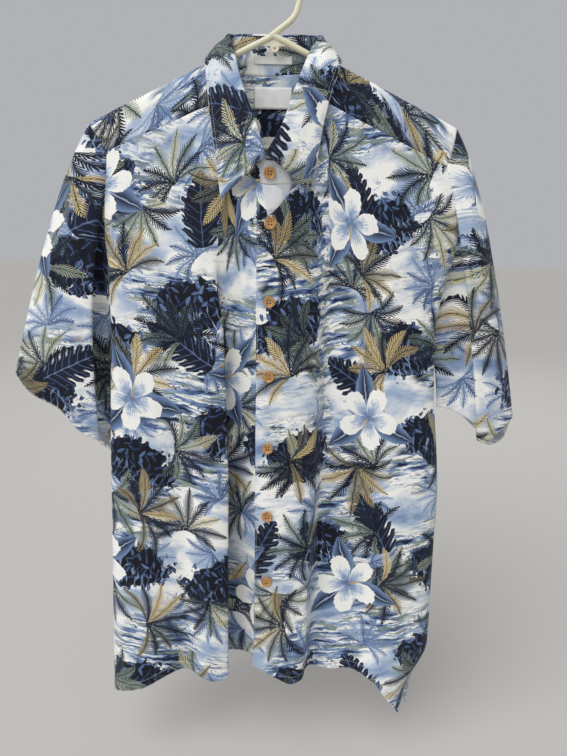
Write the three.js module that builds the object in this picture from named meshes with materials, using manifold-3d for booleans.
// A short-sleeved camp shirt on a tubular plastic hanger, in millimetres.
// X runs to the viewer's right, Y away from the viewer, Z up. The origin is the inner top of the
// hanger's hook, where the rod carries it. Right and left in the names are the wearer's own, so the
// right front and right sleeve lie at -X.
import * as THREE from 'three';
import { mergeVertices } from 'three/addons/utils/BufferGeometryUtils.js';
import Module from 'manifold-3d';

const wasm = await Module();
wasm.setup();

// Driving dimensions
const CLOTH = 1.2; // thickness of one cloth wall
const SEAM = 0.4; // how far each piece stops short of a flat seam
const CORNER = 1.3; // the same where the stand meets the body at an angle
const ASIDE = 1.8; // how far a sleeve stands off the body's edge sideways
const BUST = -310; // heights of the levels in the front and back tables
const CHEST = -430;
const HIP = -650;
const VENT = -840;
const UNDERARM = -438;
const FRONT_ROWS = 17; // rows of squares down a front and down the back
const BACK_ROWS = 12;

const TUBE = 3.5; // radius of the hanger's tube
const TUBE_SIDES = 10;
const HOOK_RADIUS = 32;
const ARM_TOP = -91.5; // where the arms' centre lines meet
const ARM_SLOPE = 0.475; // fall of each arm per millimetre of run
const ARM_REACH = 193; // from the middle to where each arm starts to turn under
const ARM_BEND = 11; // radius of the bends at its end
const BAR_Z = -212;
const WEB_Z = -102.5; // lower edge of the web between the arms, and its reach to each side
const WEB_REACH = 22;
const WEB_THICK = 2;
const TAB = { x: 1.5, z: -104, radius: 5, hole: 1.5 }; // the round tab below it, with its hole

const BUTTON_RADIUS = 6.8;
const BUTTON_THICK = 2.6;
const BUTTON_LIFT = 0.5; // from the cloth's face to the button's back
const BUTTON_X = -1;
const TOP_BUTTON = { x: -2, z: -243 }; // on the stand
const FIRST_BUTTON = -298; // height of the highest one on the front
const BUTTON_STEP = 88.6;
const FRONT_BUTTONS = 6;
const BUTTON_HOLE = { radius: 0.75, aside: 1.45 };

const LABEL_THICK = 1.0;
const LABEL_GAP = 0.45;
const LABEL_SIDES = [-21.5, 21.5];
const NECK_LABEL = [-143, -167]; // top and bottom of each label
const SIZE_LABEL = [-110, -118.5];

const cloth = new THREE.MeshStandardMaterial({ color: 0x8fa3bf, roughness: 0.85 });
const stitched = new THREE.MeshStandardMaterial({ color: 0x5b7396, roughness: 0.85 });
const labelCloth = new THREE.MeshStandardMaterial({ color: 0xe9e6e2, roughness: 0.8 });
const coconut = new THREE.MeshStandardMaterial({ color: 0xb5803f, roughness: 0.45 });
const plastic = new THREE.MeshStandardMaterial({ color: 0xe9e6c8, roughness: 0.4 });

const shirt = new THREE.Group();

// Vectors as [x, y, z]
const add = (a, b) => a.map((n, i) => n + b[i]);
const sub = (a, b) => a.map((n, i) => n - b[i]);
const scale = (a, k) => a.map((n) => n * k);
const mix = (a, b, t) => a.map((n, i) => n + (b[i] - n) * t);
const size = (a) => Math.hypot(...a);
const unit = (a) => scale(a, 1 / (size(a) || 1));
const cross = (a, b) => [
  a[1] * b[2] - a[2] * b[1],
  a[2] * b[0] - a[0] * b[2],
  a[0] * b[1] - a[1] * b[0],
];

// The value at `at` on a smooth curve through knots [position, value], with no overshoot. The knots'
// positions fall.
function follow(knots, at) {
  const last = knots.length - 2;
  let k = 0;
  while (k < last && at < knots[k + 1][0]) k += 1;
  const slopes = knots.slice(1).map((p, i) => (p[1] - knots[i][1]) / (p[0] - knots[i][0]));
  const tangent = (i) => {
    const before = slopes[Math.max(i - 1, 0)];
    const after = slopes[Math.min(i, slopes.length - 1)];
    return before * after <= 0 ? 0 : (2 * before * after) / (before + after);
  };
  const [p, q] = [knots[k], knots[k + 1]];
  const span = q[0] - p[0];
  const t = Math.min(Math.max((at - p[0]) / span, 0), 1);
  return (
    p[1] * (1 + 2 * t) * (1 - t) ** 2 +
    tangent(k) * span * t * (1 - t) ** 2 +
    q[1] * t * t * (3 - 2 * t) -
    tangent(k + 1) * span * t * t * (1 - t)
  );
}

// A smooth run through points, with `steps[i]` steps from point i to the next. Its tangents follow
// the distances between the points, so that a tight fold doesn't loop. It turns sharply at the
// points in `corners`.
function run(points, steps, { closed = false, corners = [] } = {}) {
  const count = points.length;
  const pick = (i) => points[closed ? (i + count) % count : Math.min(Math.max(i, 0), count - 1)];
  const tangent = (i, leaving) => {
    const [before, here, after] = [pick(i - 1), pick(i), pick(i + 1)];
    const a = Math.max(size(sub(here, before)), 1e-6);
    const b = Math.max(size(sub(after, here)), 1e-6);
    const into = scale(sub(here, before), 1 / a);
    const out = scale(sub(after, here), 1 / b);
    if (before === here || after === here || corners.includes(i)) return leaving ? out : into;
    return scale(add(scale(into, b), scale(out, a)), 1 / (a + b));
  };
  const found = [];
  const spans = closed ? count : count - 1;
  for (let i = 0; i < spans; i += 1) {
    const [p, q] = [pick(i), pick(i + 1)];
    const reach = size(sub(q, p));
    const [u, v] = [scale(tangent(i, true), reach), scale(tangent(i + 1, false), reach)];
    for (let k = 0; k < steps[i]; k += 1) {
      const t = k / steps[i];
      const s = 1 - t;
      const ends = add(scale(p, (1 + 2 * t) * s * s), scale(q, t * t * (3 - 2 * t)));
      found.push(add(ends, add(scale(u, t * s * s), scale(v, -t * t * s))));
    }
  }
  if (!closed) found.push(points[count - 1]);
  return found;
}

// Moves the edges of a grid of points inward: first and last row, first and last column.
function trim(grid, [top, bottom, start, end]) {
  const pull = (from, toward, by) => add(from, scale(unit(sub(toward, from)), by));
  const rows = grid.map((row) => row.map((p) => [...p]));
  const low = rows.length - 1;
  const far = rows[0].length - 1;
  for (let j = 0; j <= far; j += 1) {
    rows[0][j] = pull(grid[0][j], grid[1][j], top);
    rows[low][j] = pull(grid[low][j], grid[low - 1][j], bottom);
  }
  for (const row of rows) {
    const [first, second, near, edge] = [row[0], row[1], row[far - 1], row[far]];
    row[0] = pull(first, second, start);
    row[far] = pull(edge, near, end);
  }
  return rows;
}

// The unit normal at each point of a grid of rows.
function normals(grid, closed) {
  const far = grid[0].length;
  return grid.map((row, i) =>
    row.map((point, j) => {
      const up = grid[Math.max(i - 1, 0)][j];
      const down = grid[Math.min(i + 1, grid.length - 1)][j];
      const left = closed ? row[(j + far - 1) % far] : row[Math.max(j - 1, 0)];
      const right = closed ? row[(j + 1) % far] : row[Math.min(j + 1, far - 1)];
      return unit(cross(sub(right, left), sub(down, up)));
    }),
  );
}

const offset = (grid, by, closed = false) => {
  const out = normals(grid, closed);
  return grid.map((row, i) => row.map((p, j) => add(p, scale(out[i][j], by))));
};

// A closed wall round a grid of points: two faces, `thick` apart, and the rims that join them.
function wall(grid, thick = CLOTH, closed = false) {
  const faces = [offset(grid, thick / 2, closed), offset(grid, -thick / 2, closed)];
  const [high, wide] = [grid.length, grid[0].length];
  const spots = faces.flatMap((face) => face.flatMap((row) => row.flat()));
  const at = (face, i, j) => face * high * wide + i * wide + (j % wide);
  const index = [];
  const quad = (a, b, c, d) => index.push(a, b, c, a, c, d);
  const across = closed ? wide : wide - 1;
  for (let i = 0; i < high - 1; i += 1) {
    for (let j = 0; j < across; j += 1) {
      quad(at(0, i, j), at(0, i, j + 1), at(0, i + 1, j + 1), at(0, i + 1, j));
      quad(at(1, i, j), at(1, i + 1, j), at(1, i + 1, j + 1), at(1, i, j + 1));
    }
  }
  for (let j = 0; j < across; j += 1) {
    quad(at(0, 0, j), at(1, 0, j), at(1, 0, j + 1), at(0, 0, j + 1));
    quad(at(0, high - 1, j), at(0, high - 1, j + 1), at(1, high - 1, j + 1), at(1, high - 1, j));
  }
  for (let i = 0; i < high - 1 && !closed; i += 1) {
    quad(at(0, i, 0), at(0, i + 1, 0), at(1, i + 1, 0), at(1, i, 0));
    quad(at(0, i, wide - 1), at(1, i, wide - 1), at(1, i + 1, wide - 1), at(0, i + 1, wide - 1));
  }
  const geometry = new THREE.BufferGeometry();
  geometry.setAttribute('position', new THREE.BufferAttribute(new Float32Array(spots), 3));
  geometry.setIndex(index);
  return facingOut(geometry);
}

function volume(geometry) {
  const spots = geometry.attributes.position;
  const index = geometry.index;
  const corner = (k) => [spots.getX(index.getX(k)), spots.getY(index.getX(k)), spots.getZ(index.getX(k))];
  let total = 0;
  for (let k = 0; k < index.count; k += 3) {
    const [a, b, c] = [corner(k), corner(k + 1), corner(k + 2)];
    const n = cross(b, c);
    total += (a[0] * n[0] + a[1] * n[1] + a[2] * n[2]) / 6;
  }
  return total;
}

function facingOut(geometry) {
  if (volume(geometry) < 0) geometry.setIndex([...geometry.index.array].reverse());
  return geometry;
}

function show(name, geometry, material) {
  const mesh = new THREE.Mesh(geometry, material);
  mesh.name = name;
  shirt.add(mesh);
  return mesh;
}

// The yoke lies over both arms of the hanger. Each row is a line from the neck seam to the sleeve
// or back seam, in order from the right front round the back of the neck to the left front.
const YOKE = [
  // name, steps to the next, neck x, y, z, outer x, y, z
  ['right front seam', 2, -60, -20, -165, -190, -13, -219],
  ['right front', 2, -66, -12, -139, -200, -10, -205],
  ['right ridge front', 1, -70.5, -4.7, -122.2, -210, -4.8, -189],
  ['right ridge', 1, -71, 0, -119.2, -212, 0, -186.2],
  ['right ridge back', 1, -70, 4.8, -122, -211, 5, -189.5],
  ['right back', 2, -64, 9.5, -127, -207, 10, -210],
  ['right back corner', 3, -54, 10.5, -128.5, -203, 11, -236],
  ['right back quarter', 3, -28, 11, -130, -101.5, 12, -236],
  ['centre back', 3, 0, 11.5, -131, 0, 13, -236],
  ['left back quarter', 3, 28, 11, -130, 103, 12, -236],
  ['left back corner', 2, 54, 10.5, -128.5, 206, 11, -236],
  ['left back', 1, 64, 9.5, -127, 210, 10, -212],
  ['left ridge back', 1, 70, 4.8, -122, 212, 5, -190],
  ['left ridge', 1, 71, 0, -119.2, 213, 0, -186.7],
  ['left ridge front', 2, 70.5, -4.7, -122.2, 212, -4.8, -190],
  ['left front', 2, 66, -12, -139, 208, -10, -212],
  ['left front seam', 0, 58, -20, -164, 202, -13, -231],
];
const YOKE_ROWS = 4;
const YOKE_CORNERS = [6, 10]; // the two back corners

const neckPoint = (name) => YOKE.find((row) => row[0] === name).slice(2, 5);
const outerPoint = (name) => YOKE.find((row) => row[0] === name).slice(5, 8);

// A point on a front yoke seam, from the neck at 0 to the sleeve at 1.
const yokeSeam = (side, t) => mix(neckPoint(`${side} front seam`), outerPoint(`${side} front seam`), t);

function yokeGrid() {
  const rows = [];
  for (let i = 0; i <= YOKE_ROWS; i += 1) {
    const points = YOKE.map((row) => mix(row.slice(2, 5), row.slice(5, 8), i / YOKE_ROWS));
    rows.push(run(points, YOKE.map((row) => row[1]), { corners: YOKE_CORNERS }));
  }
  return rows;
}

// Each row of a front is one line down the cloth, from the front edge to the side seam. Its top is
// either a point of the neckline or a place along the yoke seam.
const RIGHT_FRONT = [
  // name, steps to the next, top, then x and y at the bust, chest, hip and vent, and x, y, z at the hem
  ['under edge', 2, [24, -31.5, -254], [14, -33], [14, -33], [14, -35], [14, -37], [14, -37, -866]],
  ['band', 1, [-16, -35, -252], [-5, -35], [-8, -33], [-8, -34], [-8, -35], [-8, -35, -866]],
  ['band fold', 1, [-25, -33, -240], [-15, -30], [-21, -26], [-23, -20], [-24, -17], [-24, -16, -867]],
  ['recess', 2, [-34, -31, -227], [-30, -26], [-36, -20], [-38, -10], [-38, -8], [-38, -8, -868]],
  ['recess back', 1, [-49, -26, -196], [-46, -26], [-56, -20], [-60, -11], [-62, -9], [-62, -9, -870]],
  ['fold under', 2, 0, [-60, -28], [-66, -25], [-70, -20], [-72, -19], [-72, -19, -876]],
  ['fold edge', 2, 0.12, [-72, -30], [-55, -35], [-50, -38], [-51, -40], [-51, -40, -886]],
  ['column', 2, 0.26, [-87, -30], [-74, -40], [-70, -43], [-72, -44], [-73, -44, -890]],
  ['hollow', 2, 0.48, [-114, -27], [-112, -32], [-109, -31], [-108, -29], [-108, -28, -883]],
  ['side column', 2, 0.76, [-152, -26], [-156, -31], [-160, -35], [-165, -40], [-168, -41, -905]],
  ['side edge', 2, 0.95, [-190, -21], [-194, -17], [-201, -18], [-206, -21], [-208, -22, -918]],
  ['side seam', 0, 1, [-195, -16], [-190, 1], [-192, 3], [-194, 3], [-196, 0, -912]],
];
const LEFT_FRONT = [
  ['front edge', 1, [-16, -39, -298], [-16, -39], [-16, -40], [-16, -42], [-17, -44], [-18, -44, -864]],
  ['buttons', 2, [-3, -39.5, -290], [-2, -40], [-2, -42], [-2, -44], [-2, -46], [-2, -46, -872]],
  ['turned front', 2, [9, -38, -279], [13, -39], [15, -42], [15, -45], [16, -47], [16, -48, -882]],
  ['column', 2, [21, -35, -263], [30, -36], [35, -40], [35, -45], [34, -48], [34, -49, -888]],
  ['column edge', 1, [31, -33, -253], [46, -33], [54, -36], [53, -41], [48, -45], [46, -46, -884]],
  ['column wall', 1, [41, -31, -227], [56, -30], [63, -28], [60, -28], [54, -29], [52, -30, -879]],
  ['valley', 2, [50, -27, -196], [66, -27], [70, -21], [65, -20], [59, -21], [57, -21, -880]],
  ['rise', 2, 0, [80, -26], [92, -23], [90, -22], [87, -25], [86, -26, -881]],
  ['hollow', 2, 0.38, [120, -26], [123, -25], [114, -24], [111, -27], [110, -28, -878]],
  ['side column', 2, 0.74, [164, -25], [162, -28], [160, -34], [156, -40], [140, -42, -888]],
  ['side edge', 2, 0.95, [211, -21], [200, -15], [216, -16], [216, -20], [162, -43, -916]],
  ['side seam', 0, 1, [220, -13], [197, 1], [208, 3], [209, 3], [178, -39, -938]],
];

// A point at height z on one line of a front or the back, from the line's table row and its top.
function linePoint([, , , bust, chest, hip, vent, hem], top, z) {
  const levels = [BUST, CHEST, HIP, VENT];
  const path = (axis) => [
    [top[2], top[axis]],
    ...[bust, chest, hip, vent].map((pair, k) => [levels[k], pair[axis]]),
    [hem[2], hem[axis]],
  ];
  return [follow(path(0), z), follow(path(1), z), z];
}

// The grid of a front or the back, from its table, with `steps` rows of squares from top to hem.
function panelGrid(table, topOf, steps) {
  const rows = [];
  for (let i = 0; i <= steps; i += 1) {
    const points = table.map((row) => {
      const top = topOf(row[2]);
      return linePoint(row, top, top[2] + ((row[7][2] - top[2]) * i) / steps);
    });
    const corners = i === 0 ? table.flatMap((row, k) => (row[2] === 0 && k > 0 ? [k] : [])) : [];
    rows.push(run(points, table.map((row) => row[1]), { corners }));
  }
  return rows;
}

const frontTop = (side) => (top) => (Array.isArray(top) ? top : yokeSeam(side, top));

// The back hangs flat. Its rows run from the right side seam to the left one.
const BACK = [
  // name, steps to the next, place along the yoke seam, then as in the fronts
  ['right side seam', 2, 0, [-200, 10], [-190, 1.9], [-192, 3.9], [-194, 4], [-193, 4, -905]],
  ['right turn', 2, 0.09, [-174, 12], [-168, 10], [-172, 10.5], [-174, 11], [-174, 11, -894]],
  ['right fold', 2, 0.25, [-106, 11], [-112, 9.5], [-116, 9], [-118, 9], [-118, 9, -884]],
  ['right middle', 2, 0.4, [-46, 13], [-50, 13], [-52, 13], [-54, 13], [-54, 13, -876]],
  ['centre', 2, 0.52, [4, 12], [4, 11], [6, 10.5], [6, 10.5], [6, 10.5, -872]],
  ['left middle', 2, 0.65, [60, 13], [62, 13], [64, 13], [66, 13], [66, 13, -875]],
  ['left fold', 2, 0.8, [122, 11], [120, 9.5], [126, 9], [130, 9], [132, 9, -886]],
  ['left turn', 2, 0.92, [190, 12], [174, 10], [188, 10.5], [190, 10], [176, 2, -915]],
  ['left side seam', 0, 1, [213, 10], [197, 2], [208, 3.9], [209, 4], [193, -14, -943]],
];
const BACK_TOP = [
  'right back corner',
  'right back quarter',
  'centre back',
  'left back quarter',
  'left back corner',
];

function backTop(t) {
  const places = BACK_TOP.map(outerPoint);
  const spans = places.length - 1;
  const k = Math.min(Math.floor(t * spans), spans - 1);
  return mix(places[k], places[k + 1], t * spans - k);
}

// A sleeve is a tube from the armhole to the cuff. Its rows run from the top of the shoulder down
// the front, round the underarm and up the back. `on` is the piece whose edge carries the row, and
// `at` is the yoke's row there or the height on the front's or back's edge.
const RIGHT_SLEEVE = [
  // name, steps, on, at, upper x, y, z, cuff x, y, z
  ['shoulder', 1, 'yoke', 'right ridge', -249, -2, -262, -317, -5, -482],
  ['front outer', 2, 'yoke', 'right ridge front', -245, -13, -268, -302, -14, -502],
  ['front middle', 2, 'yoke', 'right front', -229, -22, -285, -262, -21, -524],
  ['front inner', 1, 'yoke', 'right front seam', -214, -26, -318, -228, -27, -556],
  ['fold edge', 2, 'front', -240, -207, -24, -345, -211, -25, -563],
  ['fold back', 2, 'front', -262, -212, -13, -362, -218, -12, -554],
  ['inner valley', 2, 'front', -310, -204, -5, -385, -207, -6, -560],
  ['inner front', 2, 'front', -370, -200, -3, -425, -202, -2, -575],
  ['underarm', 2, 'front', UNDERARM, -199, 2, -462, -203, 2, -586],
  ['back inner', 2, 'back', -390, -203, 7, -430, -213, 8, -584],
  ['back middle', 2, 'back', -300, -222, 11, -350, -258, 9, -535],
  ['back outer', 2, 'yoke', 'right back corner', -236, 10, -300, -286, 7, -510],
  ['back top', 2, 'yoke', 'right back', -246, 8, -275, -306, 5, -495],
  ['ridge back', 1, 'yoke', 'right ridge back', -249, 4, -264, -315, 1, -485],
];
const LEFT_SLEEVE = [
  ['shoulder', 1, 'yoke', 'left ridge', 246, -2, -262, 308, -5, -531],
  ['front outer', 2, 'yoke', 'left ridge front', 243, -12, -270, 299, -14, -537],
  ['front middle', 2, 'yoke', 'left front', 237, -20, -290, 284, -21, -549],
  ['front inner', 2, 'yoke', 'left front seam', 236, -23, -330, 270, -25, -559],
  ['fold edge', 2, 'front', -290, 233, -22, -375, 260, -25, -557],
  ['fold back', 2, 'front', -303, 239, -11, -385, 266, -12, -546],
  ['inner valley', 2, 'front', -335, 229, -3, -400, 248, -1, -532],
  ['inner front', 2, 'front', -390, 214, -1, -428, 226, 1, -522],
  ['underarm', 2, 'front', UNDERARM, 205, 3, -458, 213, 3, -520],
  ['back inner', 2, 'back', -390, 215, 9, -430, 232, 9, -523],
  ['back middle', 2, 'back', -300, 232, 12, -350, 264, 9, -548],
  ['back outer', 2, 'yoke', 'left back corner', 240, 10, -300, 286, 7, -572],
  ['back top', 2, 'yoke', 'left back', 245, 8, -278, 301, 4, -562],
  ['ridge back', 1, 'yoke', 'left ridge back', 247, 4, -266, 307, 0, -537],
];
const SLEEVE_ROWS = 8;
const UPPER = 0.35; // where along the sleeve its upper points lie

// A point of the armhole: on the body's edge, moved out along the body and off to the side.
function armholePoint(side, inner, edge) {
  const aside = side === 'right' ? -ASIDE : ASIDE;
  return add(edge, add(scale(unit(sub(edge, inner)), SEAM), [aside, 0, 0]));
}

// The armhole from one row of a sleeve to the next.
function armholeSpan(side, [, steps, on, at], [, , nextOn, nextAt]) {
  if (on === 'yoke' && nextOn === 'yoke') {
    const index = (name) => YOKE.findIndex((row) => row[0] === name);
    const [first, last] = [index(at), index(nextAt)].sort((a, b) => a - b);
    const counts = YOKE.map(() => steps);
    const along = (column) =>
      run(YOKE.map((row) => row.slice(column, column + 3)), counts, { corners: YOKE_CORNERS });
    const [necks, outers] = [along(2), along(5)];
    const found = [];
    for (let k = first * steps; k <= last * steps; k += 1) {
      found.push(armholePoint(side, necks[k], outers[k]));
    }
    return (index(at) > index(nextAt) ? found.reverse() : found).slice(0, steps);
  }
  const edge = nextOn === 'yoke' ? on : nextOn;
  const table = { back: BACK, front: side === 'right' ? RIGHT_FRONT : LEFT_FRONT }[edge];
  const topOf = edge === 'front' ? frontTop(side) : backTop;
  const rows = edge === 'back' && side === 'right' ? [table[1], table[0]] : table.slice(-2);
  const height = (value) => (typeof value === 'number' ? value : outerPoint(value)[2]);
  return Array.from({ length: steps }, (_, k) => {
    const z = height(at) + ((height(nextAt) - height(at)) * k) / steps;
    return armholePoint(side, ...rows.map((row) => linePoint(row, topOf(row[2]), z)));
  });
}

function sleeveGrid(side, table) {
  const counts = table.map((row) => row[1]);
  const top = table.flatMap((row, k) => armholeSpan(side, row, table[(k + 1) % table.length]));
  const upper = run(table.map((row) => row.slice(4, 7)), counts, { closed: true });
  const cuff = run(table.map((row) => row.slice(7, 10)), counts, { closed: true });
  return Array.from({ length: SLEEVE_ROWS + 1 }, (_, i) => {
    const t = i / SLEEVE_ROWS;
    const a = ((t - UPPER) * (t - 1)) / UPPER;
    const b = (t * (t - 1)) / (UPPER * (UPPER - 1));
    const c = (t * (t - UPPER)) / (1 - UPPER);
    return top.map((start, k) => add(add(scale(start, a), scale(upper[k], b)), scale(cuff[k], c)));
  });
}

// The collar's rows run from the right front end round the back of the neck to the left front end.
const COLLAR = [
  // name, steps, neck seam or the yoke's row, fold x, y, z, lift of the leaf's middle, leaf edge x, y, z
  ['right front', 2, [-16, -35, -252], [-8, -40, -227], 2, [-57, -36, -272]],
  ['right point', 2, [-34, -31.5, -226], [-16, -36, -202], 3, [-61, -34, -243]],
  ['right breast', 2, [-49, -26, -196], [-28, -27, -170], 4, [-66, -29, -208]],
  ['right neck', 2, 'right front seam', [-40, -15, -136], 4, [-72, -23, -162]],
  ['right shoulder', 2, 'right front', [-45, -8, -117], 4, [-75, -15, -136]],
  ['right side front', 1, 'right ridge front', [-48.5, -3.5, -105], 4, [-77, -6, -119.5]],
  ['right side', 1, 'right ridge', [-50, 0, -100], 4, [-77, -1, -117]],
  ['right side back', 1, 'right ridge back', [-51, 4, -96], 4, [-75, 5, -118.5]],
  ['right corner', 1, 'right back', [-50, 9, -92], 3.5, [-69, 12.3, -124]],
  ['right corner back', 2, 'right back corner', [-46, 11, -90], 3, [-57, 14, -130]],
  ['right back', 2, 'right back quarter', [-28, 12, -89], 2.5, [-31, 15.5, -134]],
  ['centre back', 2, 'centre back', [0, 13, -89], 2.5, [0, 16.5, -136]],
  ['left back', 2, 'left back quarter', [30, 12, -89], 2.5, [33, 15.5, -134]],
  ['left corner back', 1, 'left back corner', [49, 11, -90], 3, [59, 14, -130]],
  ['left corner', 1, 'left back', [53, 9, -92], 3.5, [71, 12.3, -124]],
  ['left side back', 1, 'left ridge back', [52, 4, -96], 4, [76, 5, -119]],
  ['left side', 1, 'left ridge', [50, 0, -100], 4, [78, -1, -117.5]],
  ['left side front', 2, 'left ridge front', [47, -3.5, -105], 4, [77, -6, -120]],
  ['left shoulder', 2, 'left front', [42, -8, -116], 4, [73, -15, -135]],
  ['left neck', 2, 'left front seam', [36, -15, -131], 4, [67, -23, -152]],
  ['left breast', 2, [50, -27, -196], [24, -27, -163], 4, [58, -30, -188]],
  ['left point', 2, [41, -31, -227], [13, -35, -195], 3, [51, -35, -228]],
  ['left front', 0, [31, -33, -253], [-5, -43, -227], 2, [44, -39, -263]],
];
const STAND_END = { seam: [24, -31.5, -254], fold: [14, -38.5, -229] }; // the button end, past the leaf
const STAND_ROWS = 2;

const seamPoint = (seam) => (Array.isArray(seam) ? seam : neckPoint(seam));

// The first and last rows of the stand are the neck seam and the fold.
function standGrid() {
  const seams = [STAND_END.seam, ...COLLAR.map((row) => seamPoint(row[2]))];
  const folds = [STAND_END.fold, ...COLLAR.map((row) => row[3])];
  // The left end's fold passes in front of the right one, so the stand stops short of it.
  const last = folds.length - 1;
  folds[last] = mix(folds[last - 1], folds[last], 0.4);
  const counts = [2, ...COLLAR.map((row) => row[1])];
  const rows = [];
  for (let i = 0; i <= STAND_ROWS; i += 1) {
    rows.push(run(seams.map((seam, k) => mix(seam, folds[k], i / STAND_ROWS)), counts));
  }
  return rows;
}

// The leaf rolls over the stand's fold and falls outside it to its free edge.
const LEAF = [
  // share of the way from the fold to the edge, distance up along the stand, distance out, and
  // share of the row's lift
  { fall: 0, rise: 0.9, out: 0, lifted: 0 },
  { fall: 0, rise: 2.6, out: 0.9, lifted: 0 },
  { fall: 0, rise: 3.2, out: 3.0, lifted: 0 },
  { fall: 0.08, rise: 0, out: 4.6, lifted: 0 },
  { fall: 0.4, rise: 0, out: 2.6, lifted: 1 },
  { fall: 0.75, rise: 0, out: 0.8, lifted: 0.8 },
  { fall: 1, rise: 0, out: 0, lifted: 0 },
];

function leafGrid() {
  return LEAF.map(({ fall, rise, out, lifted }) => {
    const points = COLLAR.map(([, , seam, fold, lift, edge], k) => {
      const before = COLLAR[Math.max(k - 1, 0)][3];
      const after = COLLAR[Math.min(k + 1, COLLAR.length - 1)][3];
      const outward = unit(cross(sub(after, before), sub(edge, fold)));
      const upward = unit(sub(fold, seamPoint(seam)));
      const base = add(mix(fold, edge, fall), scale(upward, rise));
      return add(base, scale(outward, out + lifted * lift));
    });
    return run(points, COLLAR.map((row) => row[1]));
  });
}

// A plate of cloth standing off a surface by a small gap, over an upright rectangle of it.
// `faceY` gives the surface's near face at x and z.
function label(name, [top, bottom], faceY) {
  const [left, right] = LABEL_SIDES;
  const rows = [];
  for (const z of [top, (top + bottom) / 2, bottom]) {
    const row = [];
    for (let k = 0; k <= 4; k += 1) {
      const x = left + ((right - left) * k) / 4;
      row.push([x, faceY(x, z) - LABEL_THICK / 2 - LABEL_GAP, z]);
    }
    rows.push(row);
  }
  show(name, wall(rows, LABEL_THICK), labelCloth);
}

// Where a vertical line at x and z meets a grid of squares, with the square's normal.
function touch(grid, x, z) {
  let found = null;
  for (let i = 0; i < grid.length - 1; i += 1) {
    for (let j = 0; j < grid[0].length - 1; j += 1) {
      const [a, b] = [grid[i][j], grid[i][j + 1]];
      const [c, d] = [grid[i + 1][j], grid[i + 1][j + 1]];
      for (const [p, q, r] of [[a, b, c], [d, c, b]]) {
        const [u, v] = [sub(q, p), sub(r, p)];
        const area = u[0] * v[2] - u[2] * v[0];
        const s = ((x - p[0]) * v[2] - (z - p[2]) * v[0]) / area;
        const t = (u[0] * (z - p[2]) - u[2] * (x - p[0])) / area;
        if (s < 0 || t < 0 || s + t > 1) continue;
        const y = p[1] + s * u[1] + t * v[1];
        if (!found || y < found.point[1]) {
          const n = unit(cross(u, v));
          found = { point: [x, y, z], normal: n[1] > 0 ? scale(n, -1) : n };
        }
      }
    }
  }
  return found;
}

// The same geometry with its points only, each one once.
function bare(geometry) {
  const copy = geometry.clone();
  copy.deleteAttribute('normal');
  copy.deleteAttribute('uv');
  return mergeVertices(copy, 1e-4);
}

// Joins and cuts work on these.
function solid(geometry) {
  const { attributes, index } = bare(geometry);
  return new wasm.Manifold(
    new wasm.Mesh({
      numProp: 3,
      vertProperties: attributes.position.array,
      triVerts: Uint32Array.from(index.array),
    }),
  );
}

function geometryOf(body) {
  const mesh = body.getMesh();
  const geometry = new THREE.BufferGeometry();
  geometry.setAttribute('position', new THREE.BufferAttribute(mesh.vertProperties, 3));
  geometry.setIndex([...mesh.triVerts]);
  return geometry;
}

// A round button with a raised rim and four holes, its back on the XZ plane and its face at -Y.
function buttonGeometry() {
  const [r, h] = [BUTTON_RADIUS, BUTTON_THICK];
  const profile = [
    // radius, height from the back
    [0, 0],
    [r - 1.2, 0],
    [r, 0.9],
    [r - 0.3, h],
    [r - 1.7, h],
    [r - 2.4, h - 0.7],
    [0, h - 0.7],
  ];
  const disc = new THREE.LatheGeometry(profile.map(([x, y]) => new THREE.Vector2(x, y)), 20);
  let body = solid(facingOut(bare(disc)));
  const { radius, aside } = BUTTON_HOLE;
  for (const x of [-aside, aside]) {
    for (const z of [-aside, aside]) {
      const drill = new THREE.CylinderGeometry(radius, radius, 4 * h, 6);
      drill.translate(x, 0, z);
      body = body.subtract(solid(drill));
    }
  }
  const geometry = geometryOf(body);
  geometry.rotateX(Math.PI);
  return geometry;
}

// A curve that puts one step of an extrusion at each of its points.
class Route extends THREE.CatmullRomCurve3 {
  getUtoTmapping(u) {
    return u;
  }
}

// A round tube through points of the XZ plane.
function tube(points) {
  const corners = Array.from({ length: TUBE_SIDES }, (_, k) => {
    const a = (2 * Math.PI * k) / TUBE_SIDES;
    return new THREE.Vector2(TUBE * Math.cos(a), TUBE * Math.sin(a));
  });
  const ring = new THREE.Shape(corners);
  const path = new Route(points.map(([x, z]) => new THREE.Vector3(x, 0, z)));
  const geometry = new THREE.ExtrudeGeometry(ring, {
    steps: points.length - 1,
    bevelEnabled: false,
    extrudePath: path,
  });
  return facingOut(bare(geometry));
}

const armZ = (x) => ARM_TOP - ARM_SLOPE * Math.abs(x);
const STEM = [[-5, -93], [6, -86.5], [15.5, -79]]; // the frame's part of the stem
const STEM_END = [16.1, -78.4]; // where the hook's own part starts, a small gap further on
const HOOK_MIDDLE = [0, TUBE - HOOK_RADIUS];
const OVERLAP = 1.5; // how far each half of the frame runs past the middle

function hangerHook() {
  const points = [STEM_END, [21, -73], [26.5, -64], [30, -52], [31.8, -40]];
  for (let degrees = 0; degrees <= 200; degrees += 20) {
    const a = (degrees * Math.PI) / 180;
    points.push([HOOK_RADIUS * Math.cos(a), HOOK_MIDDLE[1] + HOOK_RADIUS * Math.sin(a)]);
  }
  show('hanger_hook', tube(points), plastic);
}

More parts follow.
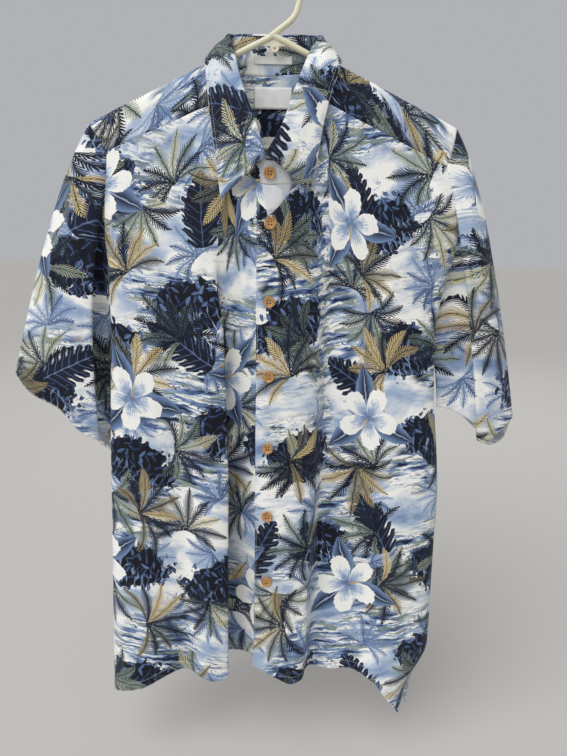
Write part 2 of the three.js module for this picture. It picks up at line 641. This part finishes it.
// Each half of the frame runs from the top down the arm, round its end and back along the bar.
function hangerFrame() {
  let body = solid(tube(STEM));
  const lean = Math.atan(ARM_SLOPE);
  const bendX = ARM_REACH - ARM_BEND * Math.sin(lean);
  const bends = [
    { z: armZ(ARM_REACH) - ARM_BEND * Math.cos(lean), degrees: [45, 22, 0] },
    { z: BAR_Z + ARM_BEND, degrees: [0, -25, -50, -75] },
  ];
  for (const side of [-1, 1]) {
    const points = [
      [-side * OVERLAP, ARM_TOP + 0.4],
      [side * 30, armZ(30)],
      [side * ARM_REACH, armZ(ARM_REACH)],
    ];
    for (const bend of bends) {
      for (const degrees of bend.degrees) {
        const a = (degrees * Math.PI) / 180;
        points.push([side * (bendX + ARM_BEND * Math.cos(a)), bend.z + ARM_BEND * Math.sin(a)]);
      }
    }
    points.push([side * (bendX - 8), BAR_Z], [side * 60, BAR_Z], [-side * OVERLAP, BAR_Z]);
    body = body.add(solid(tube(points)));
  }
  const web = new THREE.Shape();
  web.moveTo(1, ARM_TOP);
  web.lineTo(WEB_REACH, armZ(WEB_REACH));
  web.lineTo(WEB_REACH, WEB_Z);
  web.lineTo(TAB.x + 1.5 * TAB.radius, WEB_Z);
  for (const degrees of [0, -30, -60, -90, -120, -150, -180]) {
    const a = (degrees * Math.PI) / 180;
    web.lineTo(TAB.x + TAB.radius * Math.cos(a), TAB.z + TAB.radius * Math.sin(a));
  }
  web.lineTo(TAB.x - 1.5 * TAB.radius, WEB_Z);
  web.lineTo(-WEB_REACH, WEB_Z);
  web.lineTo(-WEB_REACH, armZ(WEB_REACH));
  web.closePath();
  const plate = new THREE.ExtrudeGeometry(web, { depth: WEB_THICK, bevelEnabled: false });
  plate.rotateX(Math.PI / 2);
  plate.translate(0, WEB_THICK / 2, 0);
  const drill = new THREE.CylinderGeometry(TAB.hole, TAB.hole, 4 * WEB_THICK, 10);
  drill.translate(TAB.x, 0, TAB.z - 1);
  body = body.add(solid(facingOut(bare(plate)))).subtract(solid(drill));
  show('hanger_frame', geometryOf(body), plastic);
}

function pieces() {
  const fronts = {
    right: panelGrid(RIGHT_FRONT, frontTop('right'), FRONT_ROWS),
    left: panelGrid(LEFT_FRONT, frontTop('left'), FRONT_ROWS),
  };
  const stand = standGrid();
  const yoke = yokeGrid();
  show('right_front', wall(trim(fronts.right, [SEAM, 0, 0, SEAM])), cloth);
  show('left_front', wall(trim(fronts.left, [SEAM, 0, 0, SEAM])), cloth);
  show('back', wall(trim(panelGrid(BACK, backTop, BACK_ROWS), [SEAM, 0, SEAM, SEAM])), cloth);
  show('yoke', wall(trim(yoke, [SEAM, SEAM, SEAM, SEAM])), stitched);
  show('right_sleeve', wall(sleeveGrid('right', RIGHT_SLEEVE), CLOTH, true), cloth);
  show('left_sleeve', wall(sleeveGrid('left', LEFT_SLEEVE), CLOTH, true), cloth);
  show('collar_stand', wall(trim(stand, [CORNER, 0, 0, 0])), stitched);
  show('collar_leaf', wall(leafGrid()), stitched);
  label('neck_label', NECK_LABEL, (x, z) => touch(yoke, x, z).point[1] - CLOTH / 2);
  label('size_label', SIZE_LABEL, (x, z) => touch(stand, x, z).point[1] - CLOTH / 2);
  const button = buttonGeometry();
  const spots = [touch(stand, TOP_BUTTON.x, TOP_BUTTON.z)];
  for (let k = 0; k < FRONT_BUTTONS; k += 1) {
    spots.push(touch(fronts.left, BUTTON_X, FIRST_BUTTON - BUTTON_STEP * k));
  }
  spots.forEach(({ point, normal }, k) => {
    const mesh = show(`button_${k + 1}`, button.clone(), coconut);
    mesh.position.set(...add(point, scale(normal, CLOTH / 2 + BUTTON_LIFT)));
    mesh.quaternion.setFromUnitVectors(new THREE.Vector3(0, -1, 0), new THREE.Vector3(...normal));
  });
}

pieces();
hangerHook();
hangerFrame();

export default shirt;
